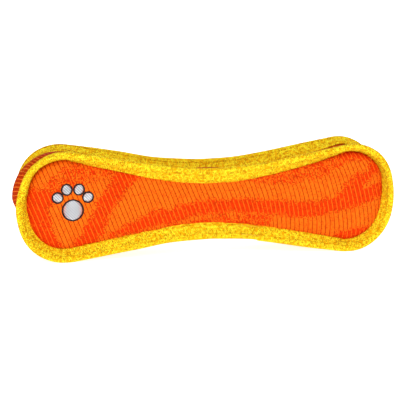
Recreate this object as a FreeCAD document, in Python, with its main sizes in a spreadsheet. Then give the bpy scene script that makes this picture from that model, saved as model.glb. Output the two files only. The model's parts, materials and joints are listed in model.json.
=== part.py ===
import FreeCAD, Part
import math
import os
import re
import Sketcher
from FreeCAD import Placement, Rotation, Vector

# A stuffed, bone-shaped retrieving bumper for dogs. It stands on its long lower edge:
# X runs along the bone, Y through its depth (the front looks towards -Y) and Z is up.
# Two cloth panels and a side gusset make the cover. Where a panel meets the gusset, their
# margins lie together in a folded webbing tape, which flares forward as a stiff lip.

os.makedirs("parts", exist_ok=True)
doc = FreeCAD.newDocument("bumper")
sheet = doc.addObject("Spreadsheet::Sheet", "Sizes")

SIZES = [
    # the bone outline, measured on the crest of the tape, half by half (degrees for slopes)
    ("half_length", 152.5),
    ("end_radius", 69.6),
    ("upper_lobe", 44.0),
    ("lower_lobe", 44.7),
    ("upper_waist", 27.4),
    ("lower_waist", 29.7),
    ("upper_corner", 35.5),
    ("lower_corner", 37.4),
    ("upper_slope", 11.1),
    ("lower_slope", 9.3),
    ("rest_flat", 0.5),
    # the folded webbing tape and its lean from the plane of the panel
    ("crest_depth", 19.5),
    ("fold_radius", 2.4),
    ("tape_thickness", 1.3),
    ("tape_reach", 10.3),
    ("tape_lean", 35),
    # the cover cloth and its margins inside the tape
    ("cloth", 0.8),
    ("cloth_gap", 0.1),
    ("margin_tip", 0.6),
    ("seam_exit", 1.3),
    ("crown_depth", 19.8),
    ("crown_inset", 22.0),
    ("crown_lap", 1.5),
    ("crown_proud", 0.1),
    ("gusset_inset", 5.0),
    # the lining
    ("lining", 0.5),
    ("panel_lining_drop", 0.5),
    ("gusset_lining_drop", 0.2),
    ("panel_lining_start", 34),
    ("gusset_lining_end", 48),
    # sewing threads
    ("thread_radius", 0.3),
    ("thread_lift", 0.03),
    ("crest_row", 1.2),
    ("base_row", 8.3),
    ("seam_row", 10.95),
    ("seam_thread_radius", 0.2),
    # embroidered paw
    ("paw_across", -109),
    ("paw_up", 1.0),
    ("paw_heel_radius", 7.6),
    ("paw_toe_radius", 3.6),
    ("paw_toe_circle", 13.2),
    ("paw_thickness", 0.7),
    ("paw_rim", 1.0),
    ("paw_rim_thickness", 0.5),
    ("backing_length", 40),
    ("backing_height", 32),
    ("backing_thickness", 0.25),
    ("backing_depth", 18.6),
    # the fibre filling
    ("fill_inset", 8.0),
    ("fill_depth", 17.8),
    ("fill_edge", 13.5),
    ("fill_hole_radius", 27.5),
    ("fill_hole_depth", 12.0),
    # the squeaker in each lobe and its pouch
    ("squeaker_across", 105),
    ("squeaker_radius", 19.5),
    ("squeaker_belly", 22.0),
    ("squeaker_depth", 10.0),
    ("squeaker_wall", 1.0),
    ("squeaker_rim", 3.0),
    ("squeaker_gap", 0.1),
    ("holder_radius", 4.1),
    ("holder_bore", 2.6),
    ("holder_flange", 5.5),
    ("holder_inner_end", 5.0),
    ("reed_width", 5.1),
    ("reed_thickness", 0.3),
    ("reed_length", 4.0),
    ("pouch_radius", 24.7),
    ("pouch_depth", 11.6),
    ("pouch_shoulder", 3.2),
    ("pouch_cloth", 0.7),
    ("pouch_seam", 2.3),
    ("pouch_gap", 0.05),
]
for row, (alias, value) in enumerate(SIZES, start=1):
    sheet.set(f"A{row}", alias)
    sheet.set(f"B{row}", str(value))
    sheet.setAlias(f"B{row}", alias)
doc.recompute()

ALIASES = {alias for alias, value in SIZES}
ALONG, UP = Vector(1, 0, 0), Vector(0, 0, 1)
HALF_TURN = 180
TOE_ANGLES = (28, 69, 111, 152)
LARGEST_FLAT_SHARE = 0.002
SAME_DEPTH = 1e-6


def bound(formula):
    """A formula in plain alias names, as an expression on the sheet."""
    return re.sub(r"[a-z_]+", lambda m: "Sizes." + m[0] if m[0] in ALIASES else m[0], formula)


def number(formula):
    """What a formula comes to now, to place the first guess of a sketch or a Placement."""
    return float(sheet.evalExpression(bound(formula)))


def place(across="0", depth="0", up="0", turn=0):
    """A Placement from the middle of the outline, which stands on the flattened lobes."""
    height = f"lower_lobe - rest_flat + ({up})"
    spot = Vector(number(across), number(depth), number(height))
    return Placement(spot, Rotation(UP, turn))


def new_body(label, placement):
    body = doc.addObject("PartDesign::Body", label)
    body.Label = label
    body.Placement = placement
    body.AllowCompound = True
    return body


def new_sketch(body, name, role, offset="0"):
    """A sketch on one of the body's own origin planes, moved along the plane's normal."""
    sketch = body.newObject("Sketcher::SketchObject", name)
    plane = next(f for f in body.Origin.OriginFeatures if f.Role == role)
    sketch.AttachmentSupport = [(plane, "")]
    sketch.MapMode = "FlatFace"
    sketch.setExpression(".AttachmentOffset.Base.z", bound(offset))
    return sketch


def bind(sketch, kind, formula, *where):
    """Adds one dimension to a sketch and binds it to the sheet."""
    index = sketch.addConstraint(Sketcher.Constraint(kind, *where, number(formula)))
    sketch.setExpression(f"Constraints[{index}]", bound(formula))


def pin_point(sketch, shape, end, across, up):
    """Fixes an end of a shape at two formulas; a zero holds it on that axis."""
    for kind, formula, axis in (("DistanceX", across, -2), ("DistanceY", up, -1)):
        if formula == "0":
            sketch.addConstraint(Sketcher.Constraint("PointOnObject", shape, end, axis))
        else:
            bind(sketch, kind, formula, shape, end)


def draw_path(sketch, path):
    """Draws a closed path. Each step is (across, up) for a straight edge to the next step,
    or (across, up, (centre across, centre up, radius)) for the short way round an arc."""
    ends = []
    for step, following in zip(path, path[1:] + path[:1]):
        here = Vector(number(step[0]), number(step[1]), 0)
        there = Vector(number(following[0]), number(following[1]), 0)
        if len(step) == 2:
            shape = sketch.addGeometry(Part.LineSegment(here, there), False)
            ends.append((shape, 1, 2))
            continue
        centre = Vector(number(step[2][0]), number(step[2][1]), 0)
        first, last = here - centre, there - centre
        forward = first.cross(last).z > 0
        low, high = (first, last) if forward else (last, first)
        circle = Part.Circle(centre, UP, number(step[2][2]))
        arc = Part.ArcOfCircle(circle, math.atan2(low.y, low.x), math.atan2(high.y, high.x))
        shape = sketch.addGeometry(arc, False)
        ends.append((shape, 1, 2) if forward else (shape, 2, 1))
    for step, (shape, start, finish), (following, begin, _) in zip(path, ends, ends[1:] + ends[:1]):
        sketch.addConstraint(Sketcher.Constraint("Coincident", shape, finish, following, begin))
        pin_point(sketch, shape, start, step[0], step[1])
        if len(step) == 3:
            bind(sketch, "Radius", step[2][2], shape)


def draw_circle(sketch, across, up, radius):
    circle = Part.Circle(Vector(number(across), number(up), 0), UP, number(radius))
    shape = sketch.addGeometry(circle, False)
    pin_point(sketch, shape, 3, across, up)
    bind(sketch, "Radius", radius, shape)


def half_outline(side, inset):
    """The right-hand quarter of the bone, from the waist to the end, as formulas."""
    sign = "" if side == "upper" else "-"
    rise = f"({side}_lobe - {side}_corner)"
    end = "(half_length - end_radius)"
    reach = f"(end_radius - {side}_corner)"
    corner = f"({end} + sqrt({reach}^2 - {rise}^2))"
    sine, cosine = f"sin({side}_slope)", f"cos({side}_slope)"
    waist = f"(({corner}*{sine} + ({side}_waist - {rise})*{cosine} - {side}_corner)/(1 - {cosine}))"
    hollow, bend, cap = f"({waist} + {inset})", f"({side}_corner - {inset})", f"(end_radius - {inset})"
    return [
        ("0", f"{sign}({side}_waist - {inset})", ("0", f"{sign}({side}_waist + {waist})", hollow)),
        (f"{hollow}*{sine}", f"{sign}({side}_waist + {waist} - {hollow}*{cosine})"),
        (f"{corner} - {bend}*{sine}", f"{sign}({rise} + {bend}*{cosine})",
         (corner, f"{sign}{rise}", bend)),
        (f"{end} + {cap}*({corner} - {end})/{reach}", f"{sign}{cap}*{rise}/{reach}",
         (end, "0", cap)),
    ]


def mirrored(step):
    """The same step on the left of the bone."""
    flipped = ["0" if step[0] == "0" else f"-({step[0]})", step[1]]
    if len(step) == 3:
        centre, up, radius = step[2]
        flipped.append(("0" if centre == "0" else f"-({centre})", up, radius))
    return tuple(flipped)


def reverse(path):
    """The same open path walked backwards, with each edge's arc moved to its new first point."""
    backwards = [step[:2] for step in reversed(path)]
    arcs = [step[2:] for step in reversed(path[:-1])] + [()]
    return [point + arc for point, arc in zip(backwards, arcs)]


def outline(inset="0"):
    """The closed bone outline, the crest of the tape moved inwards by the inset."""
    lower = half_outline("lower", inset)
    right = half_outline("upper", inset) + reverse(lower)
    left = [mirrored(step) for step in reverse(right)]
    lowest = right[-1] + mirrored(lower[0])[2:]
    return right[:-1] + [lowest] + left[1:-1]


def flange(along, off):
    """A point of the flaring lip in its cross-section: along the tape from the centre of its
    fold, and off its middle towards the front. Gives (inset, depth) formulas."""
    inset = f"(fold_radius + ({along})*cos(tape_lean) + ({off})*sin(tape_lean))"
    depth = f"(crest_depth - ({along})*sin(tape_lean) + ({off})*cos(tape_lean))"
    return inset, depth


def crossing(off, inset, depth, radius):
    """The point where the line at this offset along the lip meets a circle in the section."""
    start = flange("0", off)
    out, forward = f"(({inset}) - {start[0]})", f"({start[1]} - ({depth}))"
    along = f"({out}*cos(tape_lean) + {forward}*sin(tape_lean))"
    root = f"sqrt({along}^2 - {out}^2 - {forward}^2 + ({radius})^2)"
    return flange(f"{along} - {root}", off)


def section(points):
    """Section points (inset, depth[, arc]) at the upper waist, as (y, z) sketch points."""
    def spot(inset, depth):
        return ("0" if depth == "0" else f"-({depth})"), f"upper_waist - ({inset})"
    path = []
    for step in points:
        arc = ((*spot(*step[2][:2]), step[2][2]),) if len(step) == 3 else ()
        path.append(spot(*step[:2]) + arc)
    return path


def sweep_section(body, name, points):
    """Sweeps a closed section all the way round the bone's outline."""
    spine = new_sketch(body, name + "_spine", "XZ_Plane")
    draw_path(spine, outline())
    profile = new_sketch(body, name + "_section", "YZ_Plane")
    if callable(points):
        points(profile)
    else:
        draw_path(profile, section(points))
    doc.recompute()
    pipe = body.newObject("PartDesign::AdditivePipe", name)
    pipe.Profile = profile
    pipe.Spine = spine
    pipe.Mode = "Standard"
    pipe.Refine = False
    doc.recompute()
    return pipe


def pad_outline(body, name, inset, near, far):
    """A plate of the bone's outline between two depths from the middle, towards the front."""
    sketch = new_sketch(body, name + "_outline", "XZ_Plane", near)
    draw_path(sketch, outline(inset))
    pad = body.newObject("PartDesign::Pad", name)
    pad.Profile = sketch
    pad.Refine = False
    pad.setExpression("Length", bound(f"({far}) - ({near})"))
    doc.recompute()
    return pad


# The crown of a panel is a quarter-round border that meets the lip in a sharp valley.
VALLEY_ALONG = "(tape_reach + seam_exit)"
VALLEY = flange(VALLEY_ALONG, "(cloth_gap + cloth)")
CROWN_RUN = f"(crown_inset - {VALLEY[0]})"
CROWN_RISE = f"(crown_depth - {VALLEY[1]})"
CROWN_RADIUS = f"(({CROWN_RUN}^2 + {CROWN_RISE}^2)/(2*{CROWN_RISE}))"
CROWN_CENTRE = f"(crown_depth - {CROWN_RADIUS})"

# The gusset bulges as one arc between the two lips.
GUSSET_VALLEY = flange(VALLEY_ALONG, "-(cloth_gap + cloth)")
GUSSET_SAG = f"({GUSSET_VALLEY[0]} - gusset_inset)"
GUSSET_RADIUS = f"(({GUSSET_VALLEY[1]}^2 + {GUSSET_SAG}^2)/(2*{GUSSET_SAG}))"
GUSSET_CENTRE = f"(gusset_inset + {GUSSET_RADIUS})"


def add_crown(body, outer, thickness, tail):
    """A panel's border and its flat middle. The tail is the section's outer end, from the
    border's inner edge round to its outer edge."""
    inner = f"({outer} - {thickness})"
    top, under = f"{CROWN_CENTRE} + {outer}", f"{CROWN_CENTRE} + {inner}"
    past = "crown_inset + crown_lap"
    border = tail + [
        ("crown_inset", top), (past, top), (past, under),
        ("crown_inset", under, ("crown_inset", CROWN_CENTRE, inner)),
    ]
    sweep_section(body, "border", border)
    middle = "crown_inset + crown_lap/2"
    pad_outline(body, "middle", middle, f"{under} - crown_proud", f"{top} + crown_proud")


def make_panel(label, turn):
    body = new_body(label, place(turn=turn))
    near, far = "cloth_gap", "(cloth_gap + cloth)"
    inner = f"({CROWN_RADIUS} - cloth)"
    tail = [
        crossing(near, "crown_inset", CROWN_CENTRE, inner),
        flange("margin_tip", near),
        flange("margin_tip", far),
        VALLEY + (("crown_inset", CROWN_CENTRE, CROWN_RADIUS),),
    ]
    add_crown(body, CROWN_RADIUS, "cloth", tail)
    return body


def make_panel_liner(label, turn):
    body = new_body(label, place(turn=turn))
    outer = f"({CROWN_RADIUS} - cloth - panel_lining_drop)"
    inner = f"({outer} - lining)"
    start = "panel_lining_start"
    tail = [
        (f"crown_inset - {inner}*cos({start})", f"{CROWN_CENTRE} + {inner}*sin({start})"),
        (f"crown_inset - {outer}*cos({start})", f"{CROWN_CENTRE} + {outer}*sin({start})",
         ("crown_inset", CROWN_CENTRE, outer)),
    ]
    add_crown(body, outer, "lining", tail)
    return body


def make_gusset():
    """One cloth strip: a margin in the front lip, the bulge, and a margin in the rear lip."""
    body = new_body("side_gusset", place())
    near, far = "-cloth_gap", "-(cloth_gap + cloth)"
    inner = f"({GUSSET_RADIUS} - cloth)"
    meet = crossing(near, GUSSET_CENTRE, "0", inner)
    tip_out, tip_in = flange("margin_tip", far), flange("margin_tip", near)
    outside = (GUSSET_CENTRE, "0", GUSSET_RADIUS)
    inside = (GUSSET_CENTRE, "0", inner)

    def rear(point):
        return point[0], f"-({point[1]})"

    apex_out, apex_in = ("gusset_inset", "0"), ("gusset_inset + cloth", "0")
    sweep_section(body, "strip", [
        tip_in, tip_out, GUSSET_VALLEY + (outside,), apex_out + (outside,),
        rear(GUSSET_VALLEY), rear(tip_out), rear(tip_in), rear(meet) + (inside,),
        apex_in + (inside,), meet,
    ])
    return body


def make_gusset_liner():
    body = new_body("gusset_liner", place())
    outer = f"({GUSSET_RADIUS} - cloth - gusset_lining_drop)"
    inner = f"({outer} - lining)"
    turn = "gusset_lining_end"

    def spot(radius, side):
        return f"{GUSSET_CENTRE} - {radius}*cos({turn})", f"{side}{radius}*sin({turn})"

    outside, inside = (GUSSET_CENTRE, "0", outer), (GUSSET_CENTRE, "0", inner)
    sweep_section(body, "strip", [
        spot(outer, "") + (outside,), (f"{GUSSET_CENTRE} - {outer}", "0", outside),
        spot(outer, "-"), spot(inner, "-") + (inside,),
        (f"{GUSSET_CENTRE} - {inner}", "0", inside), spot(inner, ""),
    ])
    return body


def make_binding(label, turn):
    """Webbing folded in half over the margins, with the lobes flattened where they stand."""
    body = new_body(label, place(turn=turn))
    hollow = "(fold_radius - tape_thickness)"
    centre = flange("0", "0")
    outside, inside = centre + ("fold_radius",), centre + (hollow,)
    sweep_section(body, "tape", [
        flange("tape_reach", "fold_radius"),
        flange("0", "fold_radius") + (outside,),
        flange("-fold_radius", "0") + (outside,),
        flange("0", "-fold_radius"),
        flange("tape_reach", "-fold_radius"),
        flange("tape_reach", f"-{hollow}"),
        flange("0", f"-{hollow}") + (inside,),
        flange(f"-{hollow}", "0") + (inside,),
        flange("0", hollow),
        flange("tape_reach", hollow),
    ])
    before = body.Shape.Volume
    floor = new_sketch(body, "floor", "YZ_Plane")
    level, below = "-(lower_lobe - rest_flat)", "-(lower_lobe + fold_radius)"
    near, far = "-(crest_depth - 2*fold_radius)", "-(crest_depth + 2*fold_radius)"
    draw_path(floor, [(near, level), (far, level), (far, below), (near, below)])
    flat = body.newObject("PartDesign::Pocket", "flat")
    flat.Profile = floor
    flat.Type = "ThroughAll"
    flat.SideType = "Symmetric"
    flat.Refine = False
    doc.recompute()
    taken = before - body.Shape.Volume
    if not 0 < taken < before*LARGEST_FLAT_SHARE:
        raise ValueError(f"{label}: the resting flats took {taken} mm3")
    return body


def make_stitch_row(label, along, off, radius, turn):
    """Needle thread in front of the lip and bobbin thread behind it, at one distance."""
    body = new_body(label, place(turn=turn))
    for name, side in (("needle", ""), ("bobbin", "-")):
        spot = section([flange(along, f"{side}({off} + {radius} + thread_lift)")])[0]
        sweep_section(body, name, lambda profile: draw_circle(profile, *spot, radius))
    return body


def paw_circles():
    """The heel pad and four toes of the embroidered paw: (across, up, radius)."""
    circles = [("0", "-paw_heel_radius/2", "paw_heel_radius")]
    for angle in TOE_ANGLES:
        reach = f"paw_toe_circle*cos({angle})"
        rise = f"paw_toe_circle*sin({angle}) - paw_heel_radius/2"
        circles.append((reach, rise, "paw_toe_radius"))
    return circles


def make_paw(label, thickness, rims):
    """Satin discs of the paw, or the dark outline round each of them."""
    body = new_body(label, place(across="paw_across", up="paw_up"))
    sketch = new_sketch(body, "paw", "XZ_Plane", "crown_depth + crown_proud")
    for across, up, radius in paw_circles():
        draw_circle(sketch, across, up, f"{radius} + paw_rim" if rims else radius)
        if rims:
            draw_circle(sketch, across, up, radius)
    pad = body.newObject("PartDesign::Pad", "stitches")
    pad.Profile = sketch
    pad.setExpression("Length", bound(thickness))
    doc.recompute()
    return body


def make_backing():
    """Stabiliser sheet behind the embroidery, inside the front panel."""
    box = doc.addObject("Part::Box", "emblem_backing")
    box.Label = "emblem_backing"
    box.setExpression("Length", bound("backing_length"))
    box.setExpression("Width", bound("backing_thickness"))
    box.setExpression("Height", bound("backing_height"))
    box.Placement = place("paw_across - backing_length/2", "-backing_depth - backing_thickness",
                          "paw_up - backing_height/2")
    return box


def edges_at_depth(shape, depth):
    """Names of the edges that lie at this depth, front or rear."""
    found = []
    for index, edge in enumerate(shape.Edges, start=1):
        if all(abs(abs(corner.Y) - depth) < SAME_DEPTH for corner in edge.Vertexes):
            found.append(f"Edge{index}")
    return found


def make_filling():
    """Fibre wadding: the bone with its front and rear edges sloped off to clear the lining,
    and a hole in each lobe for a squeaker in its pouch."""
    body = new_body("fibre_filling", place())
    pad = pad_outline(body, "wad", "fill_inset", "-fill_depth", "fill_depth")
    slope = body.newObject("PartDesign::Chamfer", "slope")
    slope.Base = (pad, edges_at_depth(pad.Shape, number("fill_depth")))
    slope.setExpression("Size", bound("fill_edge"))
    slope.Refine = False
    doc.recompute()
    for side in (-1, 1):
        hole = body.newObject("PartDesign::SubtractiveCylinder", "hole")
        hole.setExpression("Radius", bound("fill_hole_radius"))
        hole.setExpression("Height", bound("2*fill_hole_depth"))
        spot = Vector(side * number("squeaker_across"), number("fill_hole_depth"), 0)
        hole.Placement = Placement(spot, Rotation(ALONG, 90))
        doc.recompute()
    return body


def turned(label, side, path):
    """A piece turned about a squeaker's axis; path is (radius, depth) towards the rear."""
    body = new_body(label, place(across=f"{side}*squeaker_across"))
    sketch = new_sketch(body, "half_section", "XY_Plane")
    draw_path(sketch, path)
    turn = body.newObject("PartDesign::Revolution", "turned")
    turn.Profile = sketch
    turn.ReferenceAxis = (sketch, ["V_Axis"])
    turn.Angle = 360
    doc.recompute()
    return body


def make_squeaker(name, side):
    """A round moulded bulb: pressed cap, soft wall, base with its reed, in a cloth pouch."""
    radius, wall, rim = "squeaker_radius", "squeaker_wall", "squeaker_rim"
    back = "squeaker_depth"
    seat = f"({back} - {rim})"
    pieces = [turned(f"{name}_squeaker_cap", side, [
        ("0", f"-{back}"), (radius, f"-{back}"), (radius, f"-{seat}"),
        (f"{radius} - {wall}", f"-{seat}"), (f"{radius} - {wall}", f"-({back} - {wall})"),
        ("0", f"-({back} - {wall})"),
    ])]
    pieces.append(turned(f"{name}_squeaker_base", side, [
        ("holder_radius + squeaker_gap", back), (radius, back), (radius, seat),
        (f"{radius} - {wall}", seat), (f"{radius} - {wall}", f"{back} - {wall}"),
        ("holder_radius + squeaker_gap", f"{back} - {wall}"),
    ]))
    end = f"({seat} - squeaker_gap)"
    bulge = f"(squeaker_belly - {radius})"
    arc = f"(({end}^2 + {bulge}^2)/(2*{bulge}))"
    outer = (f"squeaker_belly - {arc}", "0", arc)
    inner = (f"squeaker_belly - {wall} - {arc}", "0", arc)
    pieces.append(turned(f"{name}_squeaker_wall", side, [
        (radius, f"-{end}", outer), ("squeaker_belly", "0", outer), (radius, end),
        (f"{radius} - {wall}", end, inner), (f"squeaker_belly - {wall}", "0", inner),
        (f"{radius} - {wall}", f"-{end}"),
    ]))
    lip = f"({back} - {wall} - squeaker_gap)"
    pieces.append(turned(f"{name}_reed_holder", side, [
        ("holder_bore", "holder_inner_end"), ("holder_flange", "holder_inner_end"),
        ("holder_flange", lip), ("holder_radius", lip), ("holder_radius", back),
        ("holder_bore", back),
    ]))
    reed = doc.addObject("Part::Box", f"{name}_reed")
    reed.Label = f"{name}_reed"
    reed.setExpression("Length", bound("reed_width"))
    reed.setExpression("Width", bound("reed_length"))
    reed.setExpression("Height", bound("reed_thickness"))
    reed.Placement = place(f"{side}*squeaker_across - reed_width/2",
                           "holder_inner_end + squeaker_wall/2", "-reed_thickness/2")
    pieces.append(reed)
    for face, way in (("front", "-"), ("back", "")):
        pieces.append(turned(f"{name}_pouch_{face}", side, pouch_section(way)))
    return pieces


def pouch_section(way):
    """Half of a squeaker's pouch: a shallow dish of cloth with a flat seam allowance."""
    shoulder, cloth = "pouch_radius - pouch_shoulder", "pouch_cloth"
    drop = "(pouch_depth - pouch_shoulder)"
    return [
        ("0", f"{way}pouch_depth"), (shoulder, f"{way}pouch_depth"),
        ("pouch_radius", f"{way}{drop}"), ("pouch_radius", f"{way}({cloth} + pouch_gap)"),
        ("pouch_radius + pouch_seam", f"{way}({cloth} + pouch_gap)"),
        ("pouch_radius + pouch_seam", f"{way}pouch_gap"),
        (f"pouch_radius - {cloth}", f"{way}pouch_gap"),
        (f"pouch_radius - {cloth}", f"{way}({drop} - {cloth}/2)"),
        (f"{shoulder} - {cloth}/2", f"{way}(pouch_depth - {cloth})"),
        ("0", f"{way}(pouch_depth - {cloth})"),
    ]


pieces = [make_gusset(), make_gusset_liner(), make_filling()]
for face, turn in (("front", 0), ("back", HALF_TURN)):
    pieces.append(make_panel(f"{face}_panel", turn))
    pieces.append(make_panel_liner(f"{face}_liner", turn))
    pieces.append(make_binding(f"{face}_binding", turn))
    for row in ("crest", "base"):
        pieces.append(make_stitch_row(f"{face}_{row}_stitch", f"{row}_row", "fold_radius",
                                      "thread_radius", turn))
    pieces.append(make_stitch_row(f"{face}_seam_stitch", "seam_row", "(cloth_gap + cloth)",
                                  "seam_thread_radius", turn))
pieces.append(make_paw("paw_fill", "paw_thickness", False))
pieces.append(make_paw("paw_outline", "paw_rim_thickness", True))
pieces.append(make_backing())
for name, side in (("left", -1), ("right", 1)):
    pieces += make_squeaker(name, side)

doc.recompute()
for item in doc.Objects:
    if "Invalid" in item.State or "Error" in item.State:
        raise RuntimeError(f"{item.Name} of {item.TypeId} failed: {item.State}")
for piece in pieces:
    if piece.Shape.isNull() or not piece.Shape.isValid() or not piece.Shape.Solids:
        raise RuntimeError(f"{piece.Label} has no valid solid")
    piece.Shape.exportStep(f"parts/{piece.Label}.step")
    box = piece.Shape.BoundBox
    print(f"{piece.Label}: {len(piece.Shape.Solids)} solid(s), {piece.Shape.Volume:.0f} mm3, "
          f"z {box.ZMin:.2f} to {box.ZMax:.2f}, y {box.YMin:.2f} to {box.YMax:.2f}")
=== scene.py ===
# %% [markdown]
# # A stuffed training bumper
# The bumper is a bone-shaped pillow: two woven faces, a narrow strip of the same cloth all round
# between them, and folded webbing sewn over both seams. This lesson dresses its plain design model
# in cloth, webbing, thread and embroidery. Everything is in metres and in the design's own frame.

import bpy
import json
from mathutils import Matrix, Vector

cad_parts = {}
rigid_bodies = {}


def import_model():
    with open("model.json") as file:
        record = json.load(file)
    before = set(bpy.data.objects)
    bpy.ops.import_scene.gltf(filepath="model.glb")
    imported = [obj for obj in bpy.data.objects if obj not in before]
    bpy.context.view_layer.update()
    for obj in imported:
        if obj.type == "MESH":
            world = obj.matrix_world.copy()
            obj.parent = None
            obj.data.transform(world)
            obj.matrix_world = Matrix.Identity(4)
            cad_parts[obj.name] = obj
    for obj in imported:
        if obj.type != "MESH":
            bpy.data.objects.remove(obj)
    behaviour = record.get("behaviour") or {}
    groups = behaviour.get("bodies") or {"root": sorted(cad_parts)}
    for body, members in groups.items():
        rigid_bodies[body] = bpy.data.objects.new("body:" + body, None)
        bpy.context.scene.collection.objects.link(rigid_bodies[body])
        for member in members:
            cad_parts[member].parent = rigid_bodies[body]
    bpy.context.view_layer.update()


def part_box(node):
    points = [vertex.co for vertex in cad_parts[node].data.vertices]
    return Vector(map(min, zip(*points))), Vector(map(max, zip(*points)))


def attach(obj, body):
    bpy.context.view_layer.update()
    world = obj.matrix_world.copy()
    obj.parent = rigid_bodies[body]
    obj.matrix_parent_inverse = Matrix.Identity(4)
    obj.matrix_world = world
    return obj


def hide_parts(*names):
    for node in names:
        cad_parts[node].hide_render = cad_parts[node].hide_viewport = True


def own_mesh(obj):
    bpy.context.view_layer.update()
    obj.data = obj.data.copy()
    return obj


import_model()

# %% Modules
import json
from bisect import bisect_right
from functools import lru_cache
from math import atan2, cos, exp, hypot, pi, radians, sin, sqrt

import bmesh
import bpy
from mathutils import Matrix, Vector, kdtree, noise
from mathutils.bvhtree import BVHTree

# %% [markdown]
# ## Sizes
# A bag maker works from the outline, because every strip of cloth and webbing follows it. The
# outline is two waist arcs, four straight flanks, four round corners and two wide ends. Its length,
# its height at the lobes and the crests' depth are read from the design, so they can't drift from
# it; the arc radii are the pattern's own.

# %% Sizes
MM = 0.001
binding_low, binding_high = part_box("front_binding")
cap_low, cap_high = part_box("left_squeaker_cap")
MIDDLE = (cap_low.z + cap_high.z) / 2
SQUEAKER_X = (cap_low.x + cap_high.x) / 2
HALF_LENGTH = binding_high.x
REST_FLAT = 0.5 * MM
FOLD_RADIUS = 2.4 * MM
TAPE = 1.3 * MM
REACH = 10.3 * MM
CREST_DEPTH = -binding_low.y - FOLD_RADIUS
END_RADIUS = 69.6 * MM
UPPER = {"lobe": binding_high.z - MIDDLE, "waist": 27.4 * MM, "corner": 35.5 * MM,
         "slope": radians(11.1)}
LOWER = {"lobe": MIDDLE + REST_FLAT, "waist": 29.7 * MM, "corner": 37.4 * MM,
         "slope": radians(9.3)}
print("half length", round(HALF_LENGTH, 4), "middle height", round(MIDDLE, 4))

# %% [markdown]
# ## The path round the edge
# Every bound edge follows the same path, so it is worth having one function that says where the
# path is and which way it heads after a given length. The right half is worked out from the upper
# waist clockwise to the lower waist; the left half is its mirror image.

# %% The path
def half_path(size):
    """Waist, flank and corner of the upper or lower half: (centre, turn, length) for each."""
    slope, corner, waist = size["slope"], size["corner"], size["waist"]
    rise = size["lobe"] - corner
    end = HALF_LENGTH - END_RADIUS
    across = end + sqrt((END_RADIUS - corner) ** 2 - rise ** 2)
    radius = (across * sin(slope) + (waist - rise) * cos(slope) - corner) / (1 - cos(slope))
    bend = atan2(rise, across - end)
    flank = hypot(across - (corner + radius) * sin(slope),
                  rise + (corner + radius) * cos(slope) - waist - radius)
    turn = pi / 2 + slope - bend
    return [((0, waist + radius), -slope, radius * slope), (None, 0, flank),
            ((across, rise), turn, corner * turn)], bend


def whole_path():
    """The right half from the upper waist to the lower waist, clockwise."""
    upper, upper_bend = half_path(UPPER)
    lower, lower_bend = half_path(LOWER)
    bend = upper_bend + lower_bend
    end = ((HALF_LENGTH - END_RADIUS, 0), bend, END_RADIUS * bend)
    below = [(centre and (centre[0], -centre[1]), turn, length) for centre, turn, length in lower]
    return upper + [end] + below[::-1]


def advance(place, step, length):
    """Moves (x, z, heading) along part of a step; headings turn clockwise."""
    across, up, heading = place
    centre, turn, whole = step
    if centre is None:
        return across + length * cos(heading), up - length * sin(heading), heading
    angle = turn * length / whole
    dx, dz = across - centre[0], up - centre[1]
    return (centre[0] + dx * cos(angle) + dz * sin(angle),
            centre[1] - dx * sin(angle) + dz * cos(angle), heading + angle)


PATH = whole_path()
STARTS, LENGTHS = [(0.0, UPPER["waist"], 0.0)], [0.0]
for step in PATH:
    STARTS.append(advance(STARTS[-1], step, step[2]))
    LENGTHS.append(LENGTHS[-1] + step[2])
HALF_PATH = LENGTHS[-1]
print("perimeter", round(2 * HALF_PATH, 4), "ends at", [round(v, 5) for v in STARTS[-1]])


@lru_cache(maxsize=None)
def path_at(along):
    """(x, z, heading) at this length from the upper waist."""
    index = min(max(bisect_right(LENGTHS, along) - 1, 0), len(PATH) - 1)
    return advance(STARTS[index], PATH[index], along - LENGTHS[index])


def spot(along, side, inset, depth):
    """The point this far inside the outline and this far in front of the middle plane."""
    across, up, heading = path_at(round(along, 7))
    return Vector((side * (across - inset * sin(heading)), -depth,
                   MIDDLE + up - inset * cos(heading)))

# %% [markdown]
# ## How the lip leans
# The folded webbing stands off the corner of the pillow as a lip. Round a full lobe the filling
# pushes the face out and the lip lies back against the side; at the waist, where there is less
# filling, it stands nearly in the plane of the face. One function gives the lean, and every layer
# in the lip uses it.

# %% The lip
WAIST_LEAN, LEAN_SPAN = radians(26), 112 * MM
LOBE_LEANS = {"upper left": 71, "upper right": 72, "lower left": 48, "lower right": 54}
LEAN_FADE = 28 * MM
DRAW_IN, DRAW_START, DRAW_FULL = 3.2 * MM, 60 * MM, 150 * MM
CORNER_DRAW, CORNER_START, CORNER_FULL = 2.0 * MM, 60 * MM, 135 * MM
CORNER_FOOT, CORNER_TOP = -5 * MM, 22 * MM
REAR_SHARE = 0.25


def smooth_step(low, high, value):
    """0 up to low, 1 from high, and smooth between."""
    share = min(max((value - low) / (high - low), 0), 1)
    return share * share * (3 - 2 * share)


def lean_at(across, up):
    """The lip's lean at a point of the outline, measured from the middle."""
    side = "left" if across < 0 else "right"
    above = smooth_step(-LEAN_FADE, LEAN_FADE, up)
    lobe = above * LOBE_LEANS["upper " + side] + (1 - above) * LOBE_LEANS["lower " + side]
    share = 1 - min(abs(across) / LEAN_SPAN, 1) ** 2
    return radians(lobe) + (WAIST_LEAN - radians(lobe)) * share


def lip(across, up, down, off):
    """(inset, depth) of a point down the lip from the fold's centre and off its middle."""
    lean = lean_at(across, up)
    return (FOLD_RADIUS + down * cos(lean) + off * sin(lean),
            CREST_DEPTH - down * sin(lean) + off * cos(lean))


def corner_draw(across, up):
    """The front lip, and the rear one less, is drawn in at its upper left corner."""
    return (CORNER_DRAW * smooth_step(CORNER_START, CORNER_FULL, -across)
            * smooth_step(CORNER_FOOT, CORNER_TOP, up))


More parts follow.
